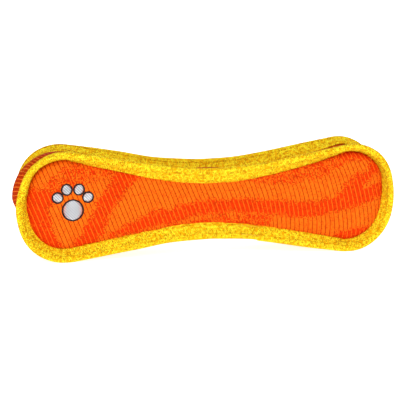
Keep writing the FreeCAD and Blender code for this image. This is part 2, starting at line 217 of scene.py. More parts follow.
def lobe_draw(across):
    """The rear lip is drawn in at one lobe, where the sewing took up more cloth."""
    return DRAW_IN * smooth_step(DRAW_START, DRAW_FULL, across)


def rear_draw(across, up):
    """Both, for the rear lip."""
    return REAR_SHARE * corner_draw(across, up) + lobe_draw(across)


def on_lip(along, side, down, off, draw=corner_draw):
    """The point down the lip and off its middle, at this length round the path."""
    across, up, heading = path_at(round(along, 7))
    inset, depth = lip(side * across, up, down, off)
    return spot(along, side, inset + draw(side * across, up), depth)

# %% [markdown]
# ## Sweeping a section along the path
# Blender's spin operator extrudes an edge chain round a centre, or along a vector. Called once for
# each stretch of the path it carries a section all the way round. Long steps keep that quick; the
# edges are then subdivided, and each new vertex is put exactly where the path says, from the
# measures that it carries in vertex layers.

# %% Sweep tools
STRIDE = 4 * MM


def carry(bm, geom, shift=(0, 0, 0), centre=(0, 0, 0), axis=(1, 0, 0), angle=0.0, steps=1):
    """Extrudes geometry by a shift or round a centre and returns the last copy."""
    return bmesh.ops.spin(bm, geom=geom, cent=centre, axis=axis, dvec=shift, angle=angle,
                          steps=steps, use_merge=False)["geom_last"]


def sweep(bm, ring, stride=STRIDE):
    """Carries a section round the right half; the 'along' layer holds the length gone."""
    along = bm.verts.layers.float["along"]
    gone = 0.0
    for index, (centre, turn, length) in enumerate(PATH):
        count = max(1, round(length / stride))
        for number in range(count):
            heading = path_at(gone)[2]
            part = length / count
            if centre is None:
                ring = carry(bm, ring, shift=(part * cos(heading), 0, -part * sin(heading)))
            else:
                ring = carry(bm, ring, centre=(centre[0], 0, MIDDLE + centre[1]),
                             axis=(0, 1, 0), angle=turn / count)
            gone = LENGTHS[index] + (number + 1) * part
            for item in ring:
                if isinstance(item, bmesh.types.BMVert):
                    item[along] = gone


def divide_along(bm, cuts):
    """Divides the edges that run round the path."""
    along = bm.verts.layers.float["along"]
    long_edges = [e for e in bm.edges if abs(e.verts[0][along] - e.verts[1][along]) > STRIDE / 20]
    bmesh.ops.subdivide_edges(bm, edges=long_edges, cuts=cuts, use_grid_fill=True)


def mirror_half(bm):
    bmesh.ops.mirror(bm, geom=bm.verts[:] + bm.edges[:] + bm.faces[:], axis="X",
                     merge_dist=0.01 * MM)


def side_of(vertex):
    return -1 if vertex.co.x < 0 else 1


# %% Piece tools
def measures(bm, *names):
    """Vertex layers, each of which carries a measure through the operators."""
    for name in names:
        bm.verts.layers.float.new(name)
    return [bm.verts.layers.float[name] for name in names]


def opened(piece):
    """A bmesh of a piece's mesh."""
    bm = bmesh.new()
    bm.from_mesh(piece.data)
    return bm


def add_object(name, data):
    thing = bpy.data.objects.new(name, data)
    bpy.context.scene.collection.objects.link(thing)
    return thing


def set_all(thing, settings):
    for key, value in settings.items():
        setattr(thing, key, value)


def finish_mesh(bm, name):
    """Turns a bmesh into an object at the origin."""
    for face in bm.faces:
        face.smooth = True
    mesh = bpy.data.meshes.new(name)
    bm.to_mesh(mesh)
    bm.free()
    print(name, len(mesh.vertices), "vertices", len(mesh.polygons), "faces")
    return add_object(name, mesh)


def turned_round(piece, name):
    """A copy turned half round the upright axis, for the back of the bumper."""
    bm = opened(piece)
    bmesh.ops.rotate(bm, cent=(0, 0, 0), matrix=Matrix.Rotation(pi, 3, "Z"), verts=bm.verts)
    return finish_mesh(bm, name)


def dress(piece, finish, slot, node, fill=None):
    """Its finish and the node it stands for, which it hides; the body is always the root. The slot
    in the record and how full a padded piece is are not used.
    """
    piece.data.materials.clear()
    piece.data.materials.append(finish)
    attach(piece, "root")
    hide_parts(node)

# %% [markdown]
# ## Writing finishes as sums
# A woven finish is mostly arithmetic on the cloth's flat coordinates. Wiring Math nodes by hand is
# slow to read, so a small class lets a socket be added, multiplied and compared like a number, and
# one method adds every other kind of node.

# %% Shader maths
class Value:
    """A number in a finish. Arithmetic on it adds Math nodes to that finish."""

    def __init__(self, finish, socket):
        self.finish, self.socket = finish, socket

    def do(self, operation, *others):
        return self.finish.maths(operation, self, *others)

    def __add__(self, other):
        return self.do("ADD", other)

    def __sub__(self, other):
        return self.do("SUBTRACT", other)

    def __rsub__(self, other):
        return self.finish.maths("SUBTRACT", other, self)

    def __mul__(self, other):
        return self.do("MULTIPLY", other)

    def __truediv__(self, other):
        return self.do("DIVIDE", other)

    def __mod__(self, other):
        return self.do("FLOORED_MODULO", other)

    def __abs__(self):
        return self.do("ABSOLUTE")

    __radd__, __rmul__ = __add__, __mul__


class Finish:
    """A material with one main shader, whose nodes are added by name."""

    def __init__(self, name, roughness, fixed=None):
        self.material = bpy.data.materials.new(name)
        self.material.use_nodes = True
        self.tree = self.material.node_tree
        self.shader = next(n for n in self.tree.nodes if n.type == "BSDF_PRINCIPLED")
        self.shader.inputs["Roughness"].default_value = roughness
        for socket, value in (fixed or {}).items():
            self.shader.inputs[socket].default_value = value

    def add(self, kind, settings, values, out=0):
        node = self.tree.nodes.new(kind)
        set_all(node, settings)
        for key, value in values.items():
            self.feed(node.inputs[key], value)
        return Value(self, node.outputs[out])

    def feed(self, socket, value):
        if isinstance(value, Value):
            self.tree.links.new(value.socket, socket)
        else:
            socket.default_value = value

    def maths(self, operation, *values):
        return self.add("ShaderNodeMath", {"operation": operation}, dict(enumerate(values)))

    def mix(self, share, first, second):
        return self.add("ShaderNodeMix", {"data_type": "RGBA"},
                        {0: share, 6: first, 7: second}, out=2)

    def step(self, value, low, high):
        """0 below low, 1 above high, and smooth between."""
        return self.add("ShaderNodeMapRange", {"interpolation_type": "SMOOTHSTEP"},
                        {"Value": value, "From Min": low, "From Max": high})

    def attribute(self, name):
        return self.add("ShaderNodeAttribute", {"attribute_name": name}, {}, out="Fac")

    def chart(self, name):
        """The two flat coordinates of a UV map, in millimetres."""
        return self.split(self.add("ShaderNodeUVMap", {"uv_map": name}, {}))[:2]

    def place(self):
        return self.add("ShaderNodeTexCoord", {}, {}, out="Object")

    def split(self, vector):
        """The three parts of a vector, in millimetres."""
        return [self.add("ShaderNodeSeparateXYZ", {}, {0: vector}, out=axis) * 1000
                for axis in range(3)]

    def vector(self, x, y, z=0.0):
        return self.add("ShaderNodeCombineXYZ", {}, {0: x, 1: y, 2: z})

    def chance(self, x, y, z=0.0):
        """A number from 0 to 1 that is the same all over each whole-numbered cell."""
        cell = self.vector(self.maths("FLOOR", x), self.maths("FLOOR", y), z)
        return self.add("ShaderNodeTexWhiteNoise", {"noise_dimensions": "3D"}, {"Vector": cell})

    def flecks(self, x, y, z, low, high):
        """Cells that chance picks: 0 below low and 1 above high."""
        return self.step(self.chance(x, y, z), low, high)

    def cloud(self, where, scale, detail):
        return self.add("ShaderNodeTexNoise", {},
                        {"Vector": where, "Scale": scale, "Detail": detail})

    def wave(self, phase):
        """From 0 to 1 and back once for each whole number of phase."""
        return 0.5 + 0.5 * self.maths("COSINE", phase * (2 * pi))

    def finish(self, colour, height=None, depth=0.1 * MM, roughness=None):
        self.feed(self.shader.inputs["Base Color"], colour)
        if roughness is not None:
            self.feed(self.shader.inputs["Roughness"], roughness)
        if height is not None:
            bump = self.add("ShaderNodeBump", {}, {"Height": height, "Distance": depth,
                                                   "Strength": 1.0}, out="Normal")
            self.feed(self.shader.inputs["Normal"], bump)
        print("finish", self.material.name, len(self.tree.nodes), "nodes")
        return self.material


def dye(red, green, blue):
    """A colour given as on a screen, 0 to 255, in the linear values that shaders use."""
    return tuple(((part / 255 + 0.055) / 1.055) ** 2.4 for part in (red, green, blue)) + (1.0,)


# %% [markdown]
# ## The webbing
# The binding is 25 mm herringbone webbing folded in half over the seam. Its section is a hairpin
# with rounded selvedges. It could be a curve with a bevel profile, but then the lean could not
# change along the way, so the section is traced with the same spin operator and swept.

# %% Trace the hairpin section
ARM_STEPS, BEND_STEPS, LIP_STEPS, INSIDE_STEPS = 18, 13, 4, 3
ARM_MIDDLE, ARM_INSIDE = FOLD_RADIUS - TAPE / 2, FOLD_RADIUS - TAPE


def hairpin(bm):
    """The section in its own plane, Z down the lip and Y off its middle: bends, each with a run."""
    chain = [bm.verts.new((0, ARM_INSIDE, REACH))]
    for off, down, angle, bend_steps, run, run_steps in (
            (ARM_MIDDLE, REACH, -pi, LIP_STEPS, -REACH, ARM_STEPS),
            (0, 0, -pi, BEND_STEPS, REACH, ARM_STEPS),
            (-ARM_MIDDLE, REACH, -pi, LIP_STEPS, -REACH, INSIDE_STEPS),
            (0, 0, pi, INSIDE_STEPS + 1, REACH, INSIDE_STEPS)):
        chain = carry(bm, chain, centre=(0, off, down), angle=angle, steps=bend_steps)
        chain = carry(bm, chain, shift=(0, 0, run / run_steps), steps=run_steps)
    bmesh.ops.remove_doubles(bm, verts=bm.verts, dist=0.02 * MM)


def across_webbing(down, off):
    """Distance across the flat webbing from its middle line; the front half is negative."""
    if down > 0:
        return (-1 if off > 0 else 1) * (FOLD_RADIUS * pi / 2 + down)
    return FOLD_RADIUS * atan2(-off, -down)

# %% [markdown]
# ## Relief in the webbing
# Herringbone webbing is a twill whose slant turns back at every column of warp, so it shows rows of
# small slanted floats. A bump map alone would leave the silhouette smooth, so the floats, the sunk
# rows of stitches and the slow ripples of hand-fed webbing are moved into the mesh.

# %% Webbing relief
COLUMN = 1.85 * MM
FLOAT = 2 * HALF_PATH / round(2 * HALF_PATH / (1.7 * MM))
TWILL_HEIGHT, GROOVE_DEPTH, GROOVE_WIDTH = 0.3 * MM, 0.6 * MM, 0.6 * MM
RIPPLE_HEIGHT, RIPPLE_LENGTH = 0.45 * MM, 26 * MM
CREST_ROW, BASE_ROW, SEAM_ROW = 1.2 * MM, 8.3 * MM, 10.95 * MM
LAP_START, LAP_END, LAP_HEIGHT, LAP_EDGE = 8 * MM, 39 * MM, 0.7 * MM, 1.2 * MM


def twill(along, across):
    """Height of a float, 0 to 1, on the flat webbing."""
    slant = abs((across / COLUMN) % 2 - 1) * COLUMN
    return 0.5 + 0.5 * cos(2 * pi * (along + slant) / FLOAT)


def lap(along):
    """Height of the overlapped end, past the lower waist on the right."""
    past = HALF_PATH - along
    return LAP_HEIGHT * (smooth_step(LAP_START, LAP_END - LAP_EDGE, past)
                         - smooth_step(LAP_END - LAP_EDGE, LAP_END, past))


def webbing_relief(along, down, off):
    """How far the webbing's surface stands out: floats, stitched rows, ripples and the lap."""
    across = across_webbing(down, off)
    rows = sum(exp(-((down - row) / GROOVE_WIDTH) ** 2) for row in (CREST_ROW, BASE_ROW))
    ripple = noise.noise(Vector((along / RIPPLE_LENGTH, across / RIPPLE_LENGTH, 3.7)))
    return (TWILL_HEIGHT * twill(along, across) - GROOVE_DEPTH * rows + RIPPLE_HEIGHT * ripple
            + (lap(along) if along > 0 else 0))

# %% [markdown]
# ## Build the binding
# Coarse sweep, fine division, mirror, then every vertex is settled on the leaning lip. The strip's
# own flat measures go into a UV map, so that the woven pattern follows the webbing round corners.

# %% Build one binding
def add_strip_map(bm, measure):
    """A UV map in metres: round the path, and across it as measure(vertex) says."""
    chart = bm.loops.layers.uv.new("strip")
    along = bm.verts.layers.float["along"]
    for face in bm.faces:
        side = -1 if face.calc_center_median().x < 0 else 1
        for loop in face.loops:
            loop[chart].uv = (side * loop.vert[along], measure(loop.vert))


def make_binding(name, draw):
    bm = bmesh.new()
    along, down, off = measures(bm, "along", "down", "off")
    hairpin(bm)
    for vertex in bm.verts:
        vertex[down], vertex[off] = vertex.co.z, vertex.co.y
    bmesh.ops.translate(bm, verts=bm.verts, vec=(0, 0, MIDDLE + UPPER["waist"]))
    sweep(bm, bm.verts[:] + bm.edges[:])
    divide_along(bm, 6)
    mirror_half(bm)
    sides = [side_of(v) for v in bm.verts]
    for vertex, side in zip(bm.verts, sides):
        vertex.co = on_lip(vertex[along], side, vertex[down], vertex[off], draw)
    add_strip_map(bm, lambda v: across_webbing(v[down], v[off]))
    bmesh.ops.recalc_face_normals(bm, faces=bm.faces)
    bm.normal_update()
    for vertex, side in zip(bm.verts, sides):
        if hypot(vertex[off], min(vertex[down], 0)) > ARM_MIDDLE:
            height = webbing_relief(side * vertex[along], vertex[down], vertex[off])
            vertex.co += vertex.normal * height
    return finish_mesh(bm, name)


front_tape = make_binding("front_webbing", corner_draw)
back_blank = make_binding("back_blank", rear_draw)
back_tape = turned_round(back_blank, "back_webbing")
bpy.data.objects.remove(back_blank)

# %% [markdown]
# ## The side strip
# A strip of the face cloth joins the two faces. It is sewn into both lips and the filling pushes it
# out between them, most at the lobes. It is cut flat, as a grid, wrapped round as a shallow arc and
# then inflated as cloth, so that it pulls in towards its seams. A grid's corners always come in the
# same order, which matters here, because a simulation can turn out otherwise in another order.

# %% Side strip blank
STRIP_STEPS, STRIP_SPLIT = 24, 3
SEAM_DOWN, SEAM_OFF = 9.4 * MM, 0.6 * MM
SIDE_INSET, WAIST_SWELL, WAIST_REACH = 6.4 * MM, 2.2 * MM, 20 * MM
SWELL_MIDDLE, SWELL_ABOVE, SWELL_BELOW = 6 * MM, 34 * MM, 15 * MM
LEFT_SWELL, LEFT_START, LEFT_FULL = 7.2 * MM, 85 * MM, 140 * MM
RIGHT_SWELL, RIGHT_START, RIGHT_FULL = 4.0 * MM, 125 * MM, 152 * MM
FLANK_TUCK, TUCK_START, TUCK_FULL = 1.4 * MM, 35 * MM, 60 * MM


def bulge_at(across, up):
    """How far inside the outline the strip's middle lies; it swells most at the ends."""
    reach = SWELL_ABOVE if up > SWELL_MIDDLE else SWELL_BELOW
    swell = exp(-((up - SWELL_MIDDLE) / reach) ** 2)
    return (SIDE_INSET - WAIST_SWELL * exp(-(across / WAIST_REACH) ** 2)
            - LEFT_SWELL * smooth_step(LEFT_START, LEFT_FULL, -across) * swell
            - RIGHT_SWELL * smooth_step(RIGHT_START, RIGHT_FULL, across) * swell
            + FLANK_TUCK * smooth_step(TUCK_START, TUCK_FULL, across))


def strip_places():
    """(length, side) of each column of the strip, clockwise from the upper waist and back to it."""
    places = [0.0]
    for index, (centre, turn, length) in enumerate(PATH):
        count = STRIP_SPLIT * max(1, round(length / STRIDE))
        places += [LENGTHS[index] + (number + 1) * length / count for number in range(count)]
    return [(place, 1) for place in places] + [(place, -1) for place in places[-2::-1]]


def make_side_blank():
    """The strip from lip to lip: a flat grid, wrapped round the path and joined end to end."""
    bm = bmesh.new()
    along, rim = measures(bm, "along", "rim")
    places = strip_places()
    columns = len(places) - 1
    bmesh.ops.create_grid(bm, x_segments=columns, y_segments=STRIP_STEPS, size=1)
    for vertex in bm.verts:
        share = vertex.co.y
        vertex[along], side = places[round((vertex.co.x + 1) / 2 * columns)]
        x, up, heading = path_at(round(vertex[along], 7))
        edge_inset, edge_depth = lip(side * x, up, SEAM_DOWN, -SEAM_OFF)
        edge_inset += max(share, 0) * rear_draw(-side * x, up)
        edge_inset += max(-share, 0) * corner_draw(side * x, up)
        inset = edge_inset - (edge_inset - bulge_at(side * x, up)) * (1 - share ** 2)
        vertex.co = spot(vertex[along], side, inset, -share * edge_depth)
        vertex[rim] = 1 if abs(share) > 0.99 else 0
    bmesh.ops.remove_doubles(bm, verts=bm.verts, dist=0.01 * MM)
    add_strip_map(bm, lambda v: v.co.y)
    bmesh.ops.recalc_face_normals(bm, faces=bm.faces)
    return bm

# %% [markdown]
# ## The face blanks
# Each face is cut to the outline less the width of the lip. A cutter would trim it from a bigger
# sheet, and so does this: the rim is swept as one line of edges and filled with a single face,
# planes cut that into a grid, and each corner is raised towards the crown by its distance from the
# outline.

# %% Distance from the outline
OUTLINE_STEP = 0.5 * MM
outline_count = int(HALF_PATH / OUTLINE_STEP)
outline_tree = kdtree.KDTree(2 * outline_count)
for number in range(outline_count):
    for side in (-1, 1):
        outline_tree.insert(spot(number * OUTLINE_STEP, side, 0, 0), number)
outline_tree.balance()


def nearest_edge(point):
    """The nearest point of the outline and its distance."""
    place, number, distance = outline_tree.find((point.x, 0, point.z))
    return place, distance


# %% Face blank
CELL = 2.8 * MM
CROWN, CROWN_REACH = 19.5 * MM, 12.5 * MM


def cut_into_cells(bm, size):
    """Cuts a flat face both ways by planes this far apart."""
    for axis in (Vector((1, 0, 0)), Vector((0, 0, 1))):
        places = [v.co.dot(axis) for v in bm.verts]
        count = int((max(places) - min(places)) / size)
        for number in range(1, count + 1):
            cut = min(places) + (number - 0.5) * size
            bmesh.ops.bisect_plane(bm, geom=bm.verts[:] + bm.edges[:] + bm.faces[:],
                                   plane_co=axis * cut, plane_no=axis, dist=0.02 * MM)


def make_face_blank():
    bm = bmesh.new()
    along, rim = measures(bm, "along", "rim")
    sweep(bm, [bm.verts.new((0, 0, MIDDLE + UPPER["waist"]))], CELL)
    mirror_half(bm)
    for vertex in bm.verts:
        vertex.co = on_lip(vertex[along], side_of(vertex), SEAM_DOWN, SEAM_OFF)
        vertex.co.y = 0
    bmesh.ops.contextual_create(bm, geom=bm.edges[:])
    cut_into_cells(bm, CELL)
    bmesh.ops.remove_doubles(bm, verts=bm.verts, dist=0.25 * CELL)
    for vertex in bm.verts:
        edge, distance = nearest_edge(vertex.co)
        edge_inset, edge_depth = lip(edge.x, edge.z - MIDDLE, SEAM_DOWN, SEAM_OFF)
        edge_inset += corner_draw(edge.x, edge.z - MIDDLE)
        vertex[rim] = 1 if vertex.is_boundary else 0
        share = min(max((distance - edge_inset) / CROWN_REACH, 0), 1)
        rise = 0 if vertex.is_boundary else sqrt(1 - (1 - share) ** 2)
        vertex.co.y = -(edge_depth + (CROWN - edge_depth) * rise)
    bmesh.ops.recalc_face_normals(bm, faces=bm.faces)
    if sum(f.normal.y for f in bm.faces) > 0:
        bmesh.ops.reverse_faces(bm, faces=bm.faces)
    return bm


# %% [markdown]
# ## Inflate the cloth
# Stuffing presses evenly on the cloth from inside, as gas does in a balloon, so a cloth simulation
# with pressure and no gravity gives the crown and the small puckers at the seams. The sewn edge is
# pinned. How far a point may go is capped, because stuffing stops pushing once it is loose.

# %% Inflate
FRAMES = 20
STUFFED = {"quality": 6, "mass": 0.15, "vertex_group_mass": "sewn_edge", "use_pressure": True,
           "uniform_pressure_force": 4.0, "shrink_min": -0.012}


def inflate(piece, cap):
    """Presses a piece out as stuffing does, each point by at most the cap."""
    mesh = piece.data
    pinned = piece.vertex_groups.new(name="sewn_edge")
    if "rim" in mesh.attributes:
        rim = [point.value for point in mesh.attributes["rim"].data]
        pinned.add([i for i, value in enumerate(rim) if value > 0.5], 1.0, "REPLACE")
    before = [v.co.copy() for v in mesh.vertices]
    cloth = piece.modifiers.new("stuffing", "CLOTH")
    set_all(cloth.settings, STUFFED)
    cloth.settings.effector_weights.gravity = 0
    cloth.point_cache.frame_end = FRAMES
    for number in range(1, FRAMES + 1):
        bpy.context.scene.frame_set(number)
    shaped = piece.evaluated_get(bpy.context.evaluated_depsgraph_get()).to_mesh()
    moves = [after.co - start for after, start in zip(shaped.vertices, before)]
    piece.to_mesh_clear()
    piece.modifiers.remove(cloth)
    bpy.context.scene.frame_set(1)
    for vertex, start, move in zip(mesh.vertices, before, moves):
        vertex.co = start + move * min(1, cap / max(move.length, 1e-9))
    print(piece.name, "moved up to", round(max(m.length for m in moves) / MM, 2), "mm")
    piece.vertex_groups.clear()


def apply_modifier(piece, kind, settings):
    """Adds a modifier and keeps its result, so that relief can be added to its vertices."""
    set_all(piece.modifiers.new(kind.lower(), kind), settings)
    result = bpy.data.meshes.new_from_object(
        piece.evaluated_get(bpy.context.evaluated_depsgraph_get()))
    piece.modifiers.clear()
    piece.data = result


def subdivide(piece, levels):
    apply_modifier(piece, "SUBSURF", {"levels": levels, "render_levels": levels})


# %% [markdown]
# ## Tones in the woven face
# A jacquard loom weaves broad curling bands of dark and light orange into one cloth. Each band is a
# brush stroke here: a few points with a half width. How far a point of the cloth is
# inside a stroke is stored as a vertex attribute, and the finish turns it into a ragged woven edge.

# %% Bands of tone
DARK_STROKES = (
    ((-140, 4, 9), (-131, 6, 8), (-124, 9, 4)),
    ((-138, 4, 9), (-136, -8, 9), (-131, -20, 7), (-121, -32, 4)),
    ((-100, -32, 7), (-90, -15, 7), (-84, 0, 6.5), (-76, 12, 7), (-66, 25, 9)),
    ((-79, -24, 1), (-60, -18, 5), (-45, -13, 7), (-30, -9, 6), (-10, -4, 6), (20, -3, 5.5),
     (50, -5, 5.5), (70, -8, 6.5), (88, -8.5, 5.5), (105, -4, 7), (122, 5, 11), (139, 13, 13)),
    ((55, 24, 2), (72, 28, 5), (88, 33, 6), (102, 38, 5)),
    ((112, 36, 4), (130, 33, 4)),
    ((111, -32, 5), (129, -29, 5)),
)
HALF_STROKES = (
    ((-128, 12, 6), (-112, 22, 8), (-95, 26, 7), (-80, 29, 5)),
    ((112, 8, 4), (126, 18, 5), (136, 27, 3)),
    ((-30, -22, 3), (10, -16, 4), (45, -15, 4)),
    ((28, 21, 4), (45, 21, 6.5), (65, 22, 8), (85, 25, 9), (97, 31, 8), (108, 37, 7)),
)
LIGHT_STROKES = (((128, 10, 1), (137, 16, 4), (144, 18, 5)),)
HALF_TONE = 0.25


def inside_stroke(stroke, across, up):
    """How far inside a stroke a point is, in millimetres; negative outside."""
    best = -99.0
    for (ax, az, aw), (bx, bz, bw) in zip(stroke, stroke[1:]):
        dx, dz = bx - ax, bz - az
        share = ((across - ax) * dx + (up - az) * dz) / (dx * dx + dz * dz)
        share = min(max(share, 0), 1)
        gap = hypot(across - ax - share * dx, up - az - share * dz)
        best = max(best, aw + share * (bw - aw) - gap)
    return best


def tone_at(across, up):
    """Dark above 0; half-tone strokes stay at the speckled border, light ones cut into the dark."""
    dark, half, light = [max(inside_stroke(stroke, across, up) for stroke in strokes)
                         for strokes in (DARK_STROKES, HALF_STROKES, LIGHT_STROKES)]
    return min(max(dark, min(half, HALF_TONE)), -light)


# %% Ribs
RIB, RIB_HEIGHT = 3.4, 0.16 * MM


def rib_phase(across, up):
    """Which rib a point is on, measured in millimetres; they stand upright at the lower right."""
    upright = smooth_step(0, 70, across)
    return (0.93 * across + 0.38 * up - upright * (0.14 * up - 0.003 * up * up)) / RIB


def finish_face(piece):
    """Rib relief, the flat pattern map, and the tone and rib attributes."""
    bm = opened(piece)
    tone, rib = measures(bm, "tone", "rib")
    chart = bm.loops.layers.uv.new("cloth")
    bm.normal_update()
    for vertex in bm.verts:
        across, up = vertex.co.x / MM, (vertex.co.z - MIDDLE) / MM
        vertex[tone], vertex[rib] = tone_at(across, up), rib_phase(across, up)
    for face in bm.faces:
        for loop in face.loops:
            loop[chart].uv = (loop.vert.co.x, loop.vert.co.z - MIDDLE)
    for vertex in bm.verts:
        groove = (0.5 + 0.5 * cos(2 * pi * vertex[rib])) ** 3
        vertex.co -= vertex.normal * RIB_HEIGHT * groove
    bm.to_mesh(piece.data)
    bm.free()


def draw_in_back(piece):
    """Moves the rim of a back piece in with the rear lip."""
    for vertex in piece.data.vertices:
        edge, distance = nearest_edge(vertex.co)
        pull = lobe_draw(-vertex.co.x)
        pull -= (1 - REAR_SHARE) * corner_draw(-vertex.co.x, vertex.co.z - MIDDLE)
        pull *= 1 - smooth_step(0, 2 * CROWN_REACH, distance)
        vertex.co += (Vector((0, vertex.co.y, MIDDLE)) - vertex.co).normalized() * pull


LINING_DROP = 1.0 * MM


def lined(piece, name, levels):
    """A lining: the same cloth shape, laid inside it."""
    lining = finish_mesh(opened(piece), name)
    if levels:
        subdivide(lining, levels)
    for vertex in lining.data.vertices:
        vertex.co -= vertex.normal * LINING_DROP
    return lining


# %% Make the cover and its lining
FACE_CAP, SIDE_CAP = 1.2 * MM, 1.0 * MM
front_face = finish_mesh(make_face_blank(), "front_face")
inflate(front_face, FACE_CAP)
front_lining = lined(front_face, "front_lining", 1)
subdivide(front_face, 2)
finish_face(front_face)
back_face = turned_round(front_face, "back_face")
back_lining = turned_round(front_lining, "back_lining")
for piece in (back_face, back_lining):
    draw_in_back(piece)
side_strip = finish_mesh(make_side_blank(), "side_strip")
inflate(side_strip, SIDE_CAP)
side_lining = lined(side_strip, "side_lining", 0)
subdivide(side_strip, 1)
print("front face", len(front_face.data.polygons), "side", len(side_strip.data.polygons))

# %% [markdown]
# ## Finish: woven face cloth
# Ribs about 3 mm wide run down the cloth. In the light bands a fine red line parts them, in the dark
# bands a lighter one. Along each band's edge the loom switches colour rib by rib, which leaves a
# ragged, speckled border.

# %% Face cloth
MATT = {"Specular IOR Level": 0.03}
FACE_DYES = {"light": dye(238, 104, 16), "light line": dye(160, 40, 0),
             "dark": dye(210, 50, 0), "dark line": dye(250, 108, 20), "border": dye(160, 36, 0)}
# The side strip is the face cloth in darker dyes: painted shade on the strip between the faces.
SHADED_SIDE_DYES = {"light": dye(190, 76, 6), "light line": dye(236, 132, 44),
             "dark": dye(168, 46, 2), "dark line": dye(228, 112, 32), "border": dye(120, 28, 2)}
SPECK, DASH, YARN, RAG_LENGTH = 0.85, 1.6, 0.55, 7
RAGGED, SPECKLED = 2.6, 4.0


def woven(name, dyes, rib_of, tone_of):
    """Two-tone ribbed cloth; sizes are in millimetres, as its flat coordinates are."""
    cloth = Finish(name, 0.75, MATT)
    rib, u, v = rib_of(cloth)
    line = cloth.step(abs(rib % 1.0 - 0.5), 0.36, 0.47)
    ragged = RAGGED * (cloth.chance(rib + 0.5, v / RAG_LENGTH) - 0.5)
    speck = cloth.chance(u / SPECK, v / SPECK)
    tone = tone_of(cloth, u, v) + ragged + SPECKLED * (speck - 0.5)
    dark = cloth.step(tone, -0.2, 0.2)
    thrown = cloth.flecks(u / SPECK, v / (2 * SPECK), 5.0, 0.93, 0.94)
    dark = cloth.maths("MAXIMUM", dark * (1 - 0.5 * thrown), 0.35 * thrown)
    light_cloth = cloth.mix(line, dyes["light"], dyes["light line"])
    dark_cloth = cloth.mix(line, dyes["dark"], dyes["dark line"])
    colour = cloth.mix(dark, light_cloth, dark_cloth)
    dash = cloth.flecks(u / DASH, v / DASH, 2.0, 0.45, 0.5)
    border = (1 - cloth.step(abs(tone), 0.25, 0.6)) * dash
    colour = cloth.mix(0.6 * border, colour, dyes["border"])
    mottle = cloth.cloud(cloth.vector(u, v), 0.09, 3.0)
    colour = cloth.mix(0.22 * cloth.step(mottle, 0.5, 0.75), colour, dyes["dark"])
    grain = cloth.flecks(u / SPECK, v / SPECK, 8.0, 0.72, 0.95)
    colour = cloth.mix(0.52 * grain, colour, dyes["border"])
    weave = cloth.wave(u / YARN) * cloth.wave(v / YARN + 0.5 * cloth.chance(u / YARN, 0.0))
    return cloth.finish(colour, 0.5 * weave - 1.2 * line, 0.1 * MM)


def face_ribs(cloth):
    u, v = cloth.chart("cloth")
    return cloth.attribute("rib"), u, v


face_cloth = woven("face_cloth", FACE_DYES, face_ribs, lambda cloth, u, v: cloth.attribute("tone"))

# %% Side cloth, with painted shade
SIDE_WAVE, SIDE_BANDS = 0.022, 26


def side_ribs(cloth):
    u, v = cloth.chart("strip")
    return (u + 0.35 * v) / RIB, u, v


def side_tone(cloth, u, v):
    return SIDE_BANDS * (cloth.cloud(cloth.vector(u, v * 2), SIDE_WAVE, 0.0) - 0.42)


shaded_side_cloth = woven("shaded_side_cloth", SHADED_SIDE_DYES, side_ribs, side_tone)

# %% [markdown]
# ## Finish: webbing
# Polyester webbing takes dye unevenly from float to float. Shade is painted into the colour between
# the floats, where the yarns cross, and in the grooves of the stitched rows. Its slanted floats
# already stand up in the mesh; the finish colours them with the same sum, so the two agree.

# %% Webbing
# The third colour is painted shade between floats and in the stitch grooves, and also random dark
# flecks.
YARN_LIGHT, YARN_DEEP, YARN_SHADE_AND_FLECK = dye(255, 240, 44), dye(230, 166, 4), dye(172, 102, 0)
FLECK, PLY = 1.0, 0.42


def make_webbing_finish():
    """Floats and flecks of uneven yellow, with painted shade between the floats and in the stitched
    rows.
    """
    tape = Finish("webbing_yellow", 0.65, MATT)
    u, v = tape.chart("strip")
    column = v / (COLUMN / MM)
    slant = abs(column % 2.0 - 1.0) * (COLUMN / MM)
    phase = (u + slant) / (FLOAT / MM)
    float_height = tape.wave(phase)
    chance = tape.chance(phase + 0.5, column)
    crossing = tape.step(abs(column % 1.0 - 0.5), 0.34, 0.5)
    fleck = tape.chance(u / FLECK, v / (1.4 * FLECK), 4.0)
    share = 0.35 * chance + 0.7 * fleck
    colour = tape.mix(tape.step(share, 0.2, 0.75), YARN_DEEP, YARN_LIGHT)
    # Painted shade between the floats and along the column edges, varied by the flecks.
    gap = tape.step(1 - float_height + 0.5 * crossing + 0.7 * (fleck - 0.5), 0.5, 1.25)
    crossed = tape.flecks(u / FLECK, v / FLECK, 9.0, 0.76, 0.8)
    # Painted shade in the grooves of the two stitched rows, stronger over part of the right half.
    sunk = [tape.step(abs(abs(v) - (FOLD_RADIUS * pi / 2 + row) / MM), 0.9, 0.3)
            for row in (CREST_ROW, BASE_ROW)]
    groove_shade_boost = tape.step(u, 30.0, 90.0) * (1 - tape.step(u, 170.0, 230.0))
    sunk = sum(sunk) * (0.12 + 0.24 * groove_shade_boost)
    colour = tape.mix(0.6 * gap + sunk + 0.48 * crossed, colour, YARN_SHADE_AND_FLECK)
    ply = tape.wave((u - 2.2 * slant) / PLY)
    return tape.finish(colour, 0.25 * ply + 0.6 * float_height, 0.16 * MM)


webbing_finish = make_webbing_finish()

# %% Dress the cover
COVER_FILL, POUCH_FILL = 0.8, 0.5
dress(front_tape, webbing_finish, "binding_webbing", "front_binding")
dress(back_tape, webbing_finish, "binding_webbing", "back_binding")
dress(front_face, face_cloth, "panel_cloth", "front_panel", COVER_FILL)
dress(back_face, face_cloth, "panel_cloth", "back_panel", COVER_FILL)
dress(side_strip, shaded_side_cloth, "gusset_cloth", "side_gusset", COVER_FILL)

# %% [markdown]
# ## Stitches
# Two rows of lock stitch hold each binding, and a third, inside the lip, is the seam itself. Every
# stitch is a short slack loop of thread sunk a little in the webbing. There are thousands, so each
# is a stretched sphere of 24 faces, stamped along the path with its place and direction.

